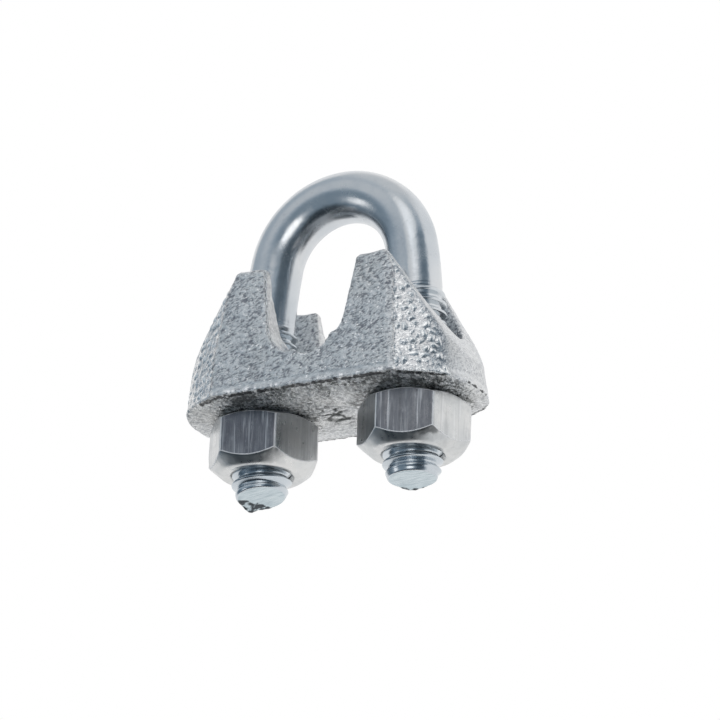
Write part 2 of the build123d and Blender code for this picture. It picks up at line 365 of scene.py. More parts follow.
def casting_skin(verts, normals):
    """Vertices moved to give the cast surface, and the masks its material reads."""
    x, y, z = verts.T
    side_x, side_y, level = np.abs(normals).T
    from_hole = np.sqrt((np.abs(x) - HOLE_X) ** 2 + y**2)

    # regions
    broad = ease((side_y - 0.75) / 0.2)
    under = ease((-normals[:, 2] - 0.6) / 0.3)
    facet = ease((side_x - 0.35) / 0.15) * ease((0.95 - side_x) / 0.2)
    facet = facet * ease((side_y - 0.4) / 0.2)
    strip = ease((z - 0.75) / 0.25) * ease((1.55 - z) / 0.3) * (1 - facet)
    calm = np.maximum(ease(side_x * 1.4 - 0.6) * 0.35, 0.75 * strip)
    seat = ease((6.1 - from_hole) / 0.6) * ease((0.3 - z) / 0.3)    # where the nuts bear
    rim = ease((saddle_outer(verts) + 0.9) / 0.5)

    # slow waves, streaks that run up to the right, pebbles and fine grain
    slow = fbm(verts / 4.2, 2, 3) * 0.14
    tilt = 0.45
    along = x * math.cos(tilt) + z * math.sin(tilt)
    across = -x * math.sin(tilt) + z * math.cos(tilt)
    streak = noise3(points(along / 0.80, y / 0.6, across / 0.38), 21)
    fine_streak = noise3(points(along / 0.44, y / 0.36, across / 0.25), 23)
    nearest, second = worley(verts / 0.72, 5)
    pebble = ease((second - nearest) * 1.5) - 0.55
    fine = noise3(verts / 0.36, 41)
    bump = (
        0.046 * streak * (0.35 + 0.75 * broad)
        + 0.052 * fine_streak * (0.4 + 0.9 * broad)
        + 0.062 * pebble * (0.30 + 1.9 * facet + 0.6 * under)
        + 0.030 * fine * (1 + 1.0 * under)
        + under * 0.085 * fbm(verts / 0.9, 2, 61)
    ) * (1 - calm)
    bump = bump * (1 - seat)
    slow = slow * (1 - seat) * (1 - 0.8 * under)

    # winding cracks near the middle of the underside
    middle = bell((x + 0.6) / 1.9, (y - 0.4) / 3.4) * under
    crack = ease(1 - np.abs(noise3(points(x / 1.5, y / 0.9, 4.0), 93)) * 5.0) * middle
    bump = bump - 0.16 * crack + 0.05 * middle * noise3(verts / 0.7, 95)

    # ragged flash and small drops along the parting line
    near = bell((z - 0.62) / 0.17) * ease(1.3 - level)
    jag = fbm(points(x / 0.55, y / 0.55, 3.0), 3, 77)
    drops = ease((fbm(points(x / 0.42, y / 0.42, 9.0), 2, 79) - 0.02) / 0.14)
    flash = near * (0.07 + 0.20 * jag) * rim
    flash = flash + 0.085 * drops * bell((z - 0.74) / 0.15) * rim

    # the leg holes stay clear of the legs, and the seats stay flat
    push = (bump + slow + flash) * (1 - 0.6 * ease((3.9 - from_hole) / 0.5))
    moved = verts + normals * push[:, None]
    moved[:, 2] = np.maximum(moved[:, 2], np.where(seat > 0.5, 0.0, -0.05))

    # soot and painted shade on the underside, toward the front, round the seats where the nuts
    # shade it and along the edges; the far left is lighter
    soot_and_shade = under * np.clip(
        ease((-y + 0.3) / 3.5) * (0.55 + 1.5 * fbm(moved / 2.2, 2, 88))
        + 1.0 * ease((6.6 - from_hole) / 1.6)
        + 0.5 * ease((7.4 - np.abs(y)) / 0.8) * ease((np.abs(y) - 6.0) / 0.8),
        0,
        1,
    )
    soot_and_shade = np.maximum(soot_and_shade, np.clip(1.5 * crack, 0, 1))
    soot_and_shade = soot_and_shade * (1 - 0.75 * ease((-x - 8.0) / 5.0)) * (1 - 0.35 * ease((4 - np.abs(x)) / 4.0))

    # painted shade: a dark line under the flash; beads on it that the material paints as bright
    # glints; and a band of painted shade on the right end
    line = bell((z - 0.45 - 0.10 * jag) / 0.11) * rim * (0.72 + 2.4 * jag)
    line = line * (1 - 0.75 * ease((-x - 10.5) / 2.5))
    bead_glint = bell((z - 0.76 - 0.10 * jag) / 0.14) * rim * (1 - under) * drops
    # painted shade on the right end, on faces whose normal lies mostly along X
    shade_band = bell((side_x - 0.80) / 0.13) * ease((x - 2) / 3)
    shade_band = shade_band * ease((0.5 - normals[:, 2]) / 0.2) * ease((z - 1.0) / 0.6)
    return moved, {
        "relief": np.clip(0.5 + (bump + 0.4 * flash) / 0.15, 0, 1),
        "flash_shade": np.clip(line, 0, 1),
        "bead_glint": bead_glint,
        "crack": crack,
        "shade_band": shade_band,
        "under": under,
        "soot_and_shade": soot_and_shade,
        "strip": strip,
        "facet": facet * ease((saddle_outer(moved) + 1.2) / 0.6),
    }


def build_saddle():
    verts, faces = saddle_mesh()
    verts, masks = casting_skin(verts, vertex_normals(verts, faces))
    return new_object("saddle_casting", verts + (0, 0, UNDER), faces, masks)


# ============================================================ U-bolt
ROD_R = 2.615                        # plain bar
CREST_R, ROOT_R, PITCH_R = 2.95, 2.38, 2.63
CROPPED_R = 2.48                     # bar squeezed by cropping
BOW_R = 7.60                         # centreline of the bow
BOW_TOP = BOW_OUT - 2.62             # top of that centreline
SWEEP = math.radians(10.0)           # turned by the wide arcs between the legs and the bow
SHEAR_Z = UNDER - 7.86               # nominal height of the cropped ends
CAP_RINGS = (0.975, 0.93, 0.86, 0.76, 0.64, 0.5, 0.36, 0.22, 0.1)   # shares of the rim

# Legs by side. thread_top: end of the thread; face: height, slope in x and in y of the
# cropped end; tear, tear_start: direction across it and where the torn zone begins;
# tip_*: the lip pulled down, its place, size, depth and the ring shares it fades over.
LEGS = {
    -1: dict(
        thread_top=UNDER + 9.8, face=(0.26, 0.12, -0.07), tear=(-0.86, 0.50), tear_start=0.95,
        tip_at=(-1.95, 1.20), tip_size=(0.80, 0.75), tip_depth=0.42, tip_fade=(0.40, 0.45),
    ),
    1: dict(
        thread_top=UNDER + 11.5, face=(0.02, 0.055, -0.01), tear=(-0.47, 0.88), tear_start=1.70,
        tip_at=(-1.05, 2.00), tip_size=(0.8, 0.7), tip_depth=0.16, tip_fade=(0.45, 0.4),
    ),
}


def vee_thread(z, angle, pitch_radius):
    """Radius of a sharp right-hand thread at height z and world angle."""
    turn = z / PITCH - angle / (2 * np.pi)
    offset = (turn - np.round(turn)) * PITCH
    return pitch_radius + (PITCH / 4 - np.abs(offset)) * math.tan(math.radians(60))


def arc(middle_x, middle_z, radius, start, end, step, length):
    """Centreline rows of an arc, without its first point; length is the one reached so far."""
    count = int(round(radius * (end - start) / step))
    rows = []
    for i in range(1, count + 1):
        angle = start + (end - start) * i / count
        c, s = math.cos(angle), math.sin(angle)
        x, z = middle_x + radius * c, middle_z + radius * s
        rows.append((x, z, c, s, length + radius * (angle - start)))
    return rows


def centreline(leg_step, bow_step):
    """Rows from the left foot over the bow to the right foot, and the side (-1, 1) of each.

    A row holds x, z, the outward direction in x and z, and the height unrolled along the bar.
    """
    side_r = (LEG_X - BOW_R * math.cos(SWEEP)) / (1 - math.cos(SWEEP))
    bow_z = BOW_TOP - BOW_R
    side_z = bow_z + (BOW_R - side_r) * math.sin(SWEEP)
    count = int(round((side_z - SHEAR_Z) / leg_step))
    heights = [SHEAR_Z + (side_z - SHEAR_Z) * i / count for i in range(count + 1)]
    rows = [(LEG_X, z, 1.0, 0.0, z) for z in heights]
    rows += arc(LEG_X - side_r, side_z, side_r, 0.0, SWEEP, leg_step, rows[-1][4])
    rows += arc(0.0, bow_z, BOW_R, SWEEP, math.pi / 2, bow_step, rows[-1][4])
    right = np.array(rows)
    left = right * (-1, 1, -1, 1, 1)
    sides = np.concatenate([-np.ones(len(left)), np.ones(len(right) - 1)])
    return np.vstack([left, right[-2::-1]]), sides


def leg_radius(height, angle, top, foot):
    """Radius of a rolled leg whose thread ends at top and whose cropped face is at foot."""
    r = vee_thread(height, angle, PITCH_R)
    root = ROOT_R + (ROD_R - ROOT_R) * ease((height - top + 1.1) / 1.1)
    crest = CREST_R - (CREST_R - ROD_R) * ease((height - top + 0.9) / 1.0)
    r = smin(smax(r, root, blend=0.11), crest, blend=0.10)
    r = r + (ROD_R - r) * ease((height - top - 0.15) / 0.5)
    # squeezed smooth where the rod was cropped, and rounded over at the edge
    squeezed = ease(1 - (height - foot - 0.25) / 0.95)
    r = r + (CROPPED_R - r) * squeezed * 0.90
    t = np.clip(1 - (height - foot) / 0.36, 0, 1)
    return r - 0.18 * (1 - np.sqrt(1 - t * t))


def face_tilt(face, x, y):
    height, slope_x, slope_y = face
    return height + slope_x * x + slope_y * y


def cropped_face(rim, side):
    """Vertices closing one foot, from rim to middle, and how torn each is.

    The front is smooth; the rear is torn, with its lip pulled down.
    """
    leg = LEGS[side]
    middle_x = side * LEG_X
    verts, torn = [], []
    for share in CAP_RINGS:
        x = (rim[:, 0] - middle_x) * share
        y = rim[:, 1] * share
        tear = x * leg["tear"][0] + y * leg["tear"][1] - leg["tear_start"]
        tear = ease((tear + 0.45 * noise3(points(x * 1.1, y * 1.1, 5 * side), 33)) / 0.5)
        rough = fbm(points(x * 1.9, y * 1.9, 2 * side), 3, 35)
        pull = -0.30 * tear * (0.40 + 0.8 * rough) * ease((share - 0.55) / 0.4)
        dish = 0.06 * (1 - share * share)
        roll = 0.10 * ease((-y - 1.4) / 1.2) * ease((share - 0.8) / 0.2)
        (tip_x, tip_y), (size_x, size_y) = leg["tip_at"], leg["tip_size"]
        fade_start, fade_width = leg["tip_fade"]
        tip = bell((x - tip_x) / size_x, (y - tip_y) / size_y)
        roll = roll - leg["tip_depth"] * tip * ease((share - fade_start) / fade_width)
        grain = 0.02 * noise3(points(x * 4, y * 4, 0), 39)
        z = SHEAR_Z + face_tilt(leg["face"], x, y) + dish + pull + grain + roll
        verts.append(points(middle_x + x, y, z))
        torn.append(tear * np.clip(0.5 + 1.4 * rough, 0, 1))
    verts.append(np.array([[middle_x, 0, SHEAR_Z + leg["face"][0] + 0.06]]))
    torn.append(np.zeros(1))
    return np.vstack(verts), np.concatenate(torn)


def bar_surface(segments, leg_step):
    """Grid of bar vertices (row, segment, xyz), and how threaded each row is."""
    rows, sides = centreline(leg_step, bow_step=0.30)

    def per_row(key):
        return np.array([LEGS[side][key] for side in sides]).T[..., None]

    mid_x, mid_z, dir_x, dir_z, unrolled = rows.T[..., None]
    around = np.arange(segments) * 2 * np.pi / segments
    cos, sin = np.cos(around)[None], np.sin(around)[None]
    out_x, out_y, out_z = dir_x * cos, sin, dir_z * cos
    top = per_row("thread_top")

    # near the ends the rows lean with the cropped face
    tilt = face_tilt(per_row("face"), out_x * 2.6, out_y * 2.6)
    ragged = 0.05 * noise3(points(out_x * 2.2 + sides[:, None] * 9, out_y * 2.2, 0), 91)
    lift = (tilt + ragged.reshape(tilt.shape)) * ease(1 - (unrolled - SHEAR_Z) / 2.2)
    r = leg_radius(unrolled + lift, np.arctan2(out_y, out_x), top, SHEAR_Z + tilt)

    # drawn bar is not perfectly round or even
    even = points(mid_x + out_x * ROD_R, out_y * ROD_R, mid_z + out_z * ROD_R)
    wobble = 0.014 * fbm(even / 2.6, 2, 7) + 0.004 * noise3(even / 0.5, 9)
    r = r + wobble.reshape(r.shape) * (0.3 + 0.7 * ease((unrolled - top + 0.5) / 1.5))
    # slightly flattened in the bow, where the bar was bent
    bent = ease((unrolled - (UNDER + 14.0)) / 4.0)
    r = r * (1 - 0.012 * bent * np.abs(cos) + 0.010 * bent * np.abs(sin))

    surface = points(mid_x + out_x * r, out_y * r, mid_z + out_z * r + lift)
    x, z = surface[:, 0], surface[:, 2]
    # the right leg leans in a little more than the left
    surface[:, 0] -= 0.08 * ease(x / 5.0) * ease((z - UNDER - 5.0) / 6.0)
    return surface.reshape(r.shape + (3,)), ease((top - unrolled) / 0.8)


def build_u_bolt():
    segments = 112
    surface, row_threaded = bar_surface(segments, leg_step=1 / 20)
    row_count = len(surface)
    count = bar_count = row_count * segments
    verts = [surface.reshape(-1, 3)]
    torn = [np.zeros(bar_count)]
    faces = []
    for row in range(row_count - 1):
        faces += bridge(row * segments, (row + 1) * segments, segments, flip=True)
    for row, side in ((0, -1), (row_count - 1, 1)):
        cap, cap_torn = cropped_face(surface[row], side)
        verts.append(cap)
        torn.append(cap_torn)
        previous = row * segments
        for _ in CAP_RINGS:
            faces += bridge(previous, count, segments, flip=side > 0)
            previous = count
            count += segments
        for a in range(segments):
            triangle = (previous + a, previous + (a + 1) % segments, count)
            faces.append(triangle[::-side])
        count += 1
    threaded = np.zeros(count)
    threaded[:bar_count] = np.repeat(row_threaded, segments)
    cut = np.ones(count)
    cut[:bar_count] = 0
    masks = {"torn": np.concatenate(torn), "threaded": threaded, "cut": cut}
    return new_object("u_bolt_bar", np.vstack(verts), faces, masks)


# ============================================================ nuts
ACROSS_FLATS, CORNER_R = 9.80, 5.60
CHAMFER_R = 4.50                     # where the top chamfer starts
MOUTH_R = 3.20                       # bore at both faces
NUT_CREST, NUT_ROOT, NUT_PITCH_R = 2.53, 3.05, 2.73
FACE_RING = 3.65                     # where the lower face starts to follow the hexagon
EDGE = 0.055                         # size of the rounding between chamfer and flat
# points of the rounding, in from the flat and toward its middle, in units of EDGE
ROUNDING = ((0.75, -0.30), (0.25, 0.10), (0.03, 0.8), (0, 1.8))
# name, side, turn of the first corner in degrees, seed, dark skin on the lower chamfer, and
# dark skin by flat counted from that corner; flat 4 is the one nearest to -Y
NUTS = (
    ("nut_left_body", -1, 10.4, 11, 0.35, (0.25, 0.15, 0.30, 0.05, 1.00, 0.22)),
    ("nut_right_body", 1, 15.8, 23, 0.9, (0.20, 0.55, 0.20, 0.10, 0.90, 0.02)),
)


def dome_height(r):
    u = np.maximum(r - 3.75, 0)
    return 0.86 * np.where(u < 0.5, u * u, u - 0.25)


def nut_profile(angle, hexagon, low_edge, top_edge):
    """Rings of (radius, z) down the bore, out along the bottom, up the flats and back in."""
    rings = [(MOUTH_R, NUT_TOP), (MOUTH_R - 0.04, NUT_TOP - 0.03)]
    thread_rings = int((NUT_TOP - NUT_LOW - 1.1) * (18))
    for z in np.linspace(NUT_TOP - 0.10, NUT_LOW + 0.10, thread_rings):
        r = smax(vee_thread(z, angle, NUT_PITCH_R), NUT_CREST, blend=0.10)
        r = smin(r, NUT_ROOT, blend=0.08)
        cone = MOUTH_R - np.minimum(NUT_TOP - z, z - NUT_LOW)
        rings.append((smax(r, cone, blend=0.06), z))
    rings.append((MOUTH_R - 0.04, NUT_LOW + 0.03))
    # lower face, a shallow dome out to the corners
    rings += [(r, NUT_LOW) for r in (MOUTH_R, 3.24, 3.4, 3.55)]
    for share in np.linspace(0.08, 0.94, 9):
        r = FACE_RING + (hexagon - FACE_RING) * share
        rings.append((r, NUT_LOW + dome_height(r)))
    # flats between two rounded edges
    rings += [(hexagon - EDGE * inward, low_edge + EDGE * up) for inward, up in ROUNDING]
    flat_low, flat_top = low_edge + EDGE * 1.8, top_edge - EDGE * 1.8
    for share in (0.1, 0.25, 0.5, 0.75, 0.9):
        rings.append((hexagon, flat_low * (1 - share) + flat_top * share))
    for inward, up in reversed(ROUNDING):
        rings.append((hexagon - EDGE * inward, top_edge - EDGE * up))
    # top chamfer and face
    for share in (0.88, 0.65, 0.4, 0.15):
        r = CHAMFER_R + (hexagon - CHAMFER_R) * share
        rings.append((r, NUT_TOP - (NUT_TOP - top_edge) * share))
    rings.append((CHAMFER_R + 0.05, NUT_TOP - 0.018))
    rings += [(r, NUT_TOP) for r in (CHAMFER_R - 0.02, 4.2, 3.8, 3.45, 3.24)]
    return (np.array([np.broadcast_to(ring[k], angle.shape) for ring in rings]) for k in (0, 1))


def build_nut(name, side, turn, seed, chamfer_skin, flat_skin):
    segments = 240
    # columns gather at the corners
    t = np.linspace(-1, 1, segments // 6, endpoint=False)
    corners = turn + 60 * np.arange(6)[:, None]
    angle = np.sort(np.radians((corners + 30 * np.sign(t) * np.abs(t) ** 1.6).ravel()))
    degrees = np.degrees(angle)
    from_corner = (degrees - turn + 30) % 60 - 30
    flat = ACROSS_FLATS / 2 / np.cos(np.radians(30 - np.abs(from_corner)))
    hexagon = smin(flat, CORNER_R, blend=0.07)
    low_edge = NUT_LOW + dome_height(hexagon)
    top_edge = NUT_TOP - np.maximum(hexagon - CHAMFER_R, 0) * math.tan(math.radians(30))
    radius, z = nut_profile(angle, hexagon, low_edge, top_edge)

    # small dents and unevenness of a forged, tumbled nut
    verts = points(radius * np.cos(angle), radius * np.sin(angle), z)
    r = np.linalg.norm(verts[:, :2], axis=1)
    push = 0.02 * fbm(verts / 1.9 + seed, 2, seed) + 0.008 * noise3(verts / 0.5, seed + 3)
    dent = ease(noise3(verts / 0.7 + 3, seed + 5) * 2.4)
    push = push - 0.05 * bell((r - 5.58) / 0.22) * dent
    push = push * ease((r - 4.3) / 0.4)
    verts[:, :2] += verts[:, :2] / r[:, None] * push[:, None]
    verts[:, 0] += side * LEG_X
    faces = []
    for row in range(len(radius)):
        following = (row + 1) % len(radius)
        faces += bridge(row * segments, following * segments, segments)

    inward = hexagon - radius
    flank = ease((0.10 - inward) / 0.08) * ease((z - (low_edge - 0.05)) / 0.1)
    flank = flank * ease((top_edge + 0.05 - z) / 0.1)
    flat_number = np.floor(((degrees - turn) % 360) / 60).astype(int)
    # lens of dark skin on the lower chamfer, under the corner to the right of the front flat
    away = (degrees + 180) % 360 - 180 + 47.0
    lens = ease((inward + 0.02) / 0.08) * ease((0.80 - 0.0035 * away * away - inward) / 0.20)
    lens = lens * ease((14 - np.abs(away)) / 6) * (z < low_edge + 0.02) * chamfer_skin
    # bright lines along the corners and round the chamfers, part wear and part painted highlight
    near_hexagon = ease((0.12 - inward) / 0.06)
    round_low = bell((z - (low_edge + 0.02)) / 0.07) * near_hexagon
    round_top = bell((z - (top_edge - 0.02)) / 0.06) * near_hexagon
    corner = bell(from_corner / 1.25) * flank
    masks = {
        "dull": np.array(flat_skin)[flat_number] * flank,
        "flank": flank,
        "lens": lens,
        "wear_and_highlight": np.maximum(corner, np.maximum(round_low, 0.8 * round_top)),
    }
    return new_object(name, verts, faces, masks)


# ============================================================ shader graphs


class Graph:
    """Adds shader nodes to the tree of a material or world."""

    def __init__(self, owner, idle=0.0):
        """idle is the value on the unread third input of each Math node."""
        owner.use_nodes = True
        self.tree = owner.node_tree
        self.tree.nodes.clear()
        self.idle = idle

    def add(self, kind, inputs=None, **settings):
        """New node; inputs maps input names or indices to sockets or values."""
        node = self.tree.nodes.new(kind)
        for name, value in settings.items():
            setattr(node, name, value)
        for key, value in (inputs or {}).items():
            if isinstance(value, bpy.types.NodeSocket):
                self.tree.links.new(value, node.inputs[key])
            else:
                node.inputs[key].default_value = value
        return node

    def math(self, operation, a, b=0.0):
        inputs = {0: a, 1: b, 2: self.idle}
        return self.add("ShaderNodeMath", inputs, operation=operation).outputs[0]

    def times(self, a, b):
        return self.math("MULTIPLY", a, b)

    def plus(self, a, b):
        return self.math("ADD", a, b)

    def maximum(self, a, b):
        return self.math("MAXIMUM", a, b)

    def inverse(self, mask, amount=None):
        """1 - mask, or 1 - mask * amount."""
        if amount is not None:
            mask = self.times(mask, amount)
        return self.math("SUBTRACT", 1.0, mask)

    def without(self, value, mask, amount=None):
        """value, reduced where the mask is high."""
        return self.times(value, self.inverse(mask, amount))

    def fade(self, value, start, end, low=0.0, high=1.0, interpolation="LINEAR"):
        """low at start to high at end, held beyond them."""
        inputs = {
            "Value": value, "From Min": start, "From Max": end, "To Min": low, "To Max": high,
        }
        node = self.add("ShaderNodeMapRange", inputs, interpolation_type=interpolation)
        return node.outputs["Result"]

    def ragged(self, mask, base, noise, start, end, high=1.0):
        """A mask broken up by noise on top of a base level, then sharpened."""
        return self.fade(self.times(mask, self.plus(base, noise)), start, end, high=high)

    def coords(self, scale=(1, 1, 1), rotation=(0, 0, 0), location=(0, 0, 0), kind="POINT"):
        """Object coordinates; scale, rotation and location are those of the Mapping node."""
        inputs = {
            "Vector": self.add("ShaderNodeTexCoord").outputs["Object"],
            "Scale": scale,
            "Rotation": rotation,
            "Location": location,
        }
        return self.add("ShaderNodeMapping", inputs, vector_type=kind).outputs[0]

    def stretched(self, size, tilt):
        """Coordinates turned about Y by tilt degrees, then stretched along the turned axes."""
        return self.coords(size, rotation=(0, math.radians(tilt), 0), kind="TEXTURE")

    def noise(self, vector, scale, detail, rough=0.55):
        inputs = {"Vector": vector, "Scale": scale, "Detail": detail, "Roughness": rough}
        return self.add("ShaderNodeTexNoise", inputs).outputs["Fac"]

    def ramp(self, factor, *stops):
        """Colour ramp through (position, colour) stops."""
        node = self.add("ShaderNodeValToRGB", {"Fac": factor})
        elements = node.color_ramp.elements
        while len(elements) < len(stops):
            elements.new(0.5)
        for element, (position, colour) in zip(elements, stops):
            element.position = position
            element.color = (*colour, 1)
        return node.outputs["Color"]

    def paint(self, below, mask, colour, amount=None):
        """Lay a colour over the one below where the mask is high."""
        if amount is not None:
            mask = self.times(mask, amount)
        inputs = {0: mask}
        for index, value in ((6, below), (7, colour)):
            inputs[index] = (*value, 1) if isinstance(value, tuple) else value
        return self.add("ShaderNodeMix", inputs, data_type="RGBA").outputs[2]

    def attribute(self, name):
        return self.add("ShaderNodeAttribute", attribute_name=name).outputs["Fac"]

    def normal_part(self, axis):
        """Absolute part of the surface normal along X, Y or Z."""
        normal = self.add("ShaderNodeNewGeometry").outputs["Normal"]
        return self.math("ABSOLUTE", self.add("ShaderNodeSeparateXYZ", {0: normal}).outputs[axis])

    def metal(self, colour, rough, height, strength, distance, metallic=1.0, glow=None):
        """Finish as a bumped metal surface; distance is in metres."""
        bump_inputs = {"Strength": strength, "Distance": distance, "Height": height}
        inputs = {
            "Base Color": colour,
            "Roughness": rough,
            "Metallic": metallic,
            "Normal": self.add("ShaderNodeBump", bump_inputs).outputs["Normal"],
        }
        if glow is not None:
            inputs["Emission Color"] = (1.0, 1.0, 1.0, 1.0)
            inputs["Emission Strength"] = glow
        shader = self.add("ShaderNodeBsdfPrincipled", inputs).outputs[0]
        self.add("ShaderNodeOutputMaterial", {"Surface": shader})


def galvanised_casting():
    material = bpy.data.materials.new("galvanised_casting")
    m = Graph(material)
    v = m.coords()
    names = ("relief", "flash_shade", "under", "soot_and_shade", "strip", "facet")
    relief, flash_shade, under, soot_and_shade, strip, facet = (m.attribute(name) for name in names)

    # clouded zinc; the facets painted paler, a painted highlight for the light they face
    col = m.ramp(
        m.noise(v, scale=240, detail=3, rough=0.6),
        (0.25, (0.66, 0.685, 0.71)),
        (0.5, (0.75, 0.765, 0.775)),
        (0.75, (0.82, 0.825, 0.82)),
    )
    col = m.paint(col, facet, colour=(0.93, 0.94, 0.94), amount=0.80)

    # relief: slanting dashes, with grit on the underside
    dash_coords = m.stretched((2.3, 1.2, 0.95), tilt=-25)
    dash = m.noise(dash_coords, scale=6600, detail=2, rough=0.55)
    big_coords = m.stretched((2.0, 1.2, 1.0), tilt=-22)
    dash_big = m.noise(big_coords, scale=3000, detail=2, rough=0.6)
    grit = m.noise(v, scale=3000, detail=3, rough=0.62)
    height = m.plus(m.times(dash, 0.55), m.times(dash_big, 0.45))
    height = m.plus(m.without(height, under), m.times(grit, under))

    # dark pits and bright ridges painted from the relief: painted shade in the hollows and a
    # painted highlight on the ridges, strongest on the long sides and the underside
    pits = m.fade(m.plus(m.times(relief, 0.24), height), start=0.615, end=0.515)
    for mask, amount in ((strip, 0.65), (facet, 0.45), (under, 0.60)):
        pits = m.without(pits, mask, amount)
    broad = m.fade(m.maximum(m.normal_part("Y"), under), start=0.50, end=0.85, low=0.50)
    pits = m.times(pits, broad)
    # band of painted shade on the right end
    col = m.paint(col, m.attribute("shade_band"), colour=(0.34, 0.37, 0.41), amount=0.55)
    col = m.paint(col, pits, colour=(0.19, 0.20, 0.24), amount=0.80)
    # painted highlight on the raised relief
    ridge_highlight = m.fade(m.plus(m.times(relief, 0.24), height), start=0.635, end=0.70, high=0.75)
    col = m.paint(col, m.times(ridge_highlight, broad), colour=(0.90, 0.91, 0.92))

    # black scale and dirt on the underside, deepened by painted shade round the nuts and toward
    # the front
    fleck = m.fade(m.noise(v, scale=1900, detail=4, rough=0.74), start=0.49, end=0.55)
    patch = m.noise(m.coords(location=(0.001, 0.004, 0)), scale=620, detail=5, rough=0.72)
    patch = m.fade(patch, start=0.53, end=0.60)
    patch = m.times(patch, m.fade(soot_and_shade, start=0.15, end=0.6, low=0.35))
    dirt_and_shade = m.times(m.maximum(fleck, patch), m.fade(soot_and_shade, start=0.05, end=0.75, low=0.22))
    col = m.paint(col, m.times(dirt_and_shade, under), colour=(0.065, 0.072, 0.07), amount=0.85)
    crack_noise = m.noise(v, scale=1800, detail=3, rough=0.6)
    rift = m.ragged(m.attribute("crack"), 0.5, crack_noise, start=0.35, end=0.60, high=0.9)
    col = m.paint(col, rift, colour=(0.05, 0.058, 0.055))
    bright = m.fade(m.noise(v, scale=3400, detail=2, rough=0.6), start=0.57, end=0.64)
    bright = m.without(m.times(bright, under), soot_and_shade, 0.85)
    col = m.paint(col, bright, colour=(0.90, 0.92, 0.90), amount=0.7)

    # dark line of painted shade under the flash along the parting line, with beads above it
    # painted as bright glints
    line = m.ragged(flash_shade, 0.45, m.noise(v, scale=1900, detail=3), start=0.30, end=0.50)
    col = m.paint(col, line, colour=(0.045, 0.048, 0.050), amount=0.90)
    # painted highlight: the beads painted white and given a faint glow as glints
    bead_noise = m.noise(m.coords(location=(0.002, 0.001, 0)), scale=2600, detail=2, rough=0.5)
    bead_glint = m.times(m.attribute("bead_glint"), m.fade(bead_noise, start=0.42, end=0.52))

    # tiny painted glints, white and faintly glowing, where the zinc froze smooth
    cell_inputs = {"Vector": m.stretched((1.5, 1.0, 1.0), tilt=-20), "Scale": 3300}
    cell = m.add("ShaderNodeTexVoronoi", cell_inputs).outputs["Distance"]
    glint_patch = m.fade(m.noise(v, scale=1300, detail=2), start=0.52, end=0.58)
    glint = m.times(m.fade(cell, start=0.32, end=0.18), glint_patch)
    glint = m.without(glint, m.times(under, soot_and_shade), 0.95)
    # painted glow: emission on the glints off the facets and on the beads, standing in for their
    # sparkle
    glow = m.maximum(m.times(m.without(glint, facet), 0.20), m.times(bead_glint, 0.32))
    glint = m.maximum(glint, bead_glint)
    col = m.paint(col, glint, colour=(0.98, 0.98, 0.98), amount=0.85)
    warm = m.noise(m.coords(location=(3, 1, 7)), scale=150, detail=2)
    warm = m.fade(warm, start=0.55, end=0.75, high=0.22)
    col = m.paint(col, warm, colour=(0.62, 0.60, 0.55))

    rough = m.plus(m.times(m.noise(v, scale=900, detail=3), 0.6), m.times(pits, 0.25))
    rough = m.fade(rough, start=0.2, end=0.65, low=0.26, high=0.50)
    rough = m.without(m.without(rough, facet, 0.50), glint, 0.5)
    height = m.plus(height, m.times(grit, 0.22))
    height = m.without(m.without(height, strip, 0.5), facet, 0.75)
    metallic = m.without(0.93, glint, 0.9)
    m.metal(col, rough, height, strength=1.0, distance=0.00024, metallic=metallic, glow=glow)
    return material


def zinc_bar():
    material = bpy.data.materials.new("zinc_plated_bar")
    m = Graph(material)
    v = m.coords()

    # clouded plating with specks and upright smears, bluer on the threads
    col = m.ramp(
        m.noise(v, scale=160, detail=3, rough=0.5),
        (0.3, (0.56, 0.60, 0.64)),
        (0.5, (0.64, 0.67, 0.70)),
        (0.72, (0.72, 0.73, 0.74)),
    )
    speck = m.fade(m.noise(v, scale=2600, detail=3, rough=0.65), start=0.60, end=0.72)
    col = m.paint(col, speck, colour=(0.36, 0.38, 0.41), amount=0.25)
    smear = m.noise(m.coords(scale=(1, 1, 0.35)), scale=420, detail=4, rough=0.6)
    smear = m.fade(smear, start=0.52, end=0.70)
    col = m.paint(col, smear, colour=(0.50, 0.55, 0.60), amount=0.18)
    col = m.paint(col, m.attribute("threaded"), colour=(0.52, 0.60, 0.66), amount=0.30)

    # cropped ends: grained steel, dark where torn
    shear_coords = m.coords(scale=(0.35, 1.6, 1.0), rotation=(0, 0, 0.5))
    shear = m.ramp(
        m.noise(shear_coords, scale=2100, detail=4, rough=0.65),
        (0.30, (0.42, 0.49, 0.53)),
        (0.5, (0.52, 0.60, 0.64)),
        (0.7, (0.62, 0.69, 0.72)),
    )
    col = m.paint(col, m.attribute("cut"), colour=shear)
    torn_noise = m.noise(v, scale=2300, detail=3, rough=0.65)
    dark = m.ragged(m.attribute("torn"), 0.45, torn_noise, start=0.24, end=0.40)
    col = m.paint(col, dark, colour=(0.035, 0.038, 0.045), amount=0.9)

    rough = m.noise(v, scale=520, detail=4, rough=0.6)
    rough = m.fade(rough, start=0.3, end=0.7, low=0.15, high=0.30)
    rough = m.plus(rough, m.times(dark, 0.25))
    fine = m.noise(m.coords(), scale=1900, detail=3, rough=0.55)
    pits = m.noise(v, scale=5200, detail=2, rough=0.5)
    height = m.plus(fine, m.times(pits, 0.35))
    m.metal(col, rough, height, strength=0.20, distance=0.00005)
    return material


